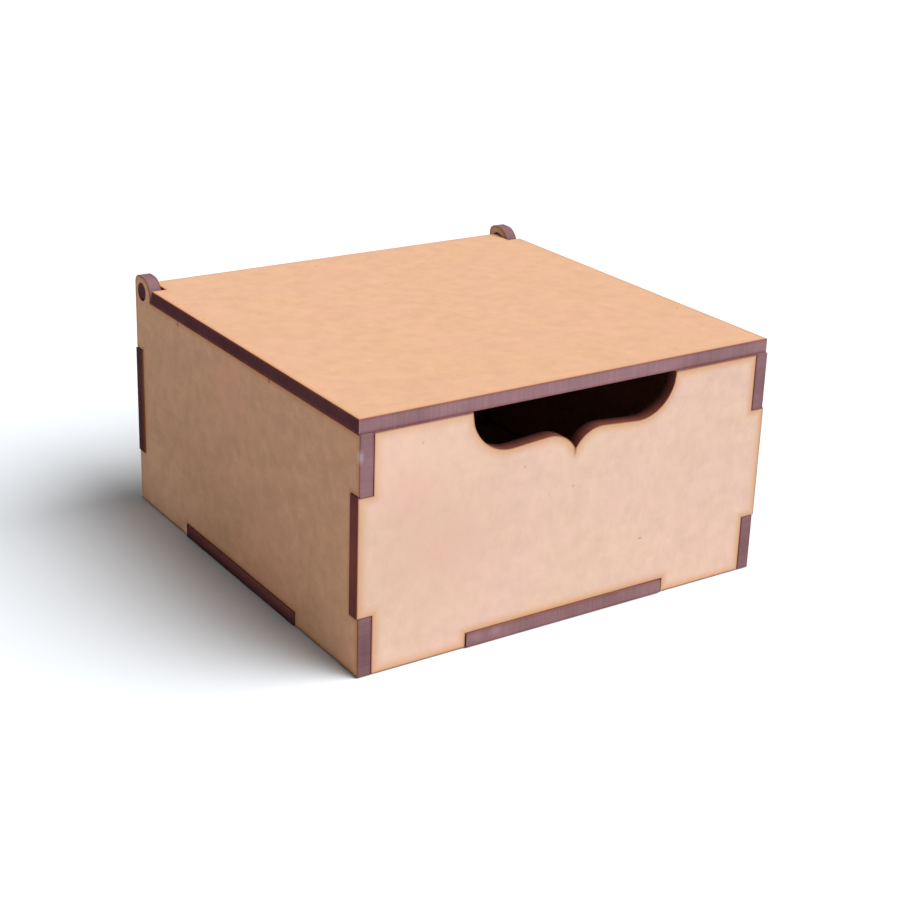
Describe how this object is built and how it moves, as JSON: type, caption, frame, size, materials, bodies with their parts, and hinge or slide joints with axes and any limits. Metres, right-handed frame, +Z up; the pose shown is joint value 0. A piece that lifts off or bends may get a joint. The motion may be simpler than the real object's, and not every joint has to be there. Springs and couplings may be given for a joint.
{
  "type": "flip-top box",
  "caption": "Square flip-top box of tabbed raw MDF panels, with a brace-shaped finger cut-out in the front rim and a lid that turns on its own pegs in ears of the side panels.",
  "frame": {"origin": "middle of the underside, where the box stands", "axes": "+X to the right seen from the front, +Y from the front to the back, +Z up"},
  "size_m": [0.1006, 0.1006, 0.055],
  "materials": {
    "raw_mdf": "raw sanded MDF face, edges browned by the laser"
  },
  "bodies": {
    "box": {"bottom_panel": "raw_mdf", "front_panel": "raw_mdf", "back_panel": "raw_mdf", "left_side_panel": "raw_mdf", "right_side_panel": "raw_mdf"},
    "lid": {"lid": "raw_mdf"}
  },
  "joints": [
    {"name": "lid_hinge", "type": "hinge", "parent": "box", "child": "lid", "pos_m": [0, 0.0465, 0.0515], "axis": [-1, 0, 0], "range_deg": [0, 190]}
  ]
}
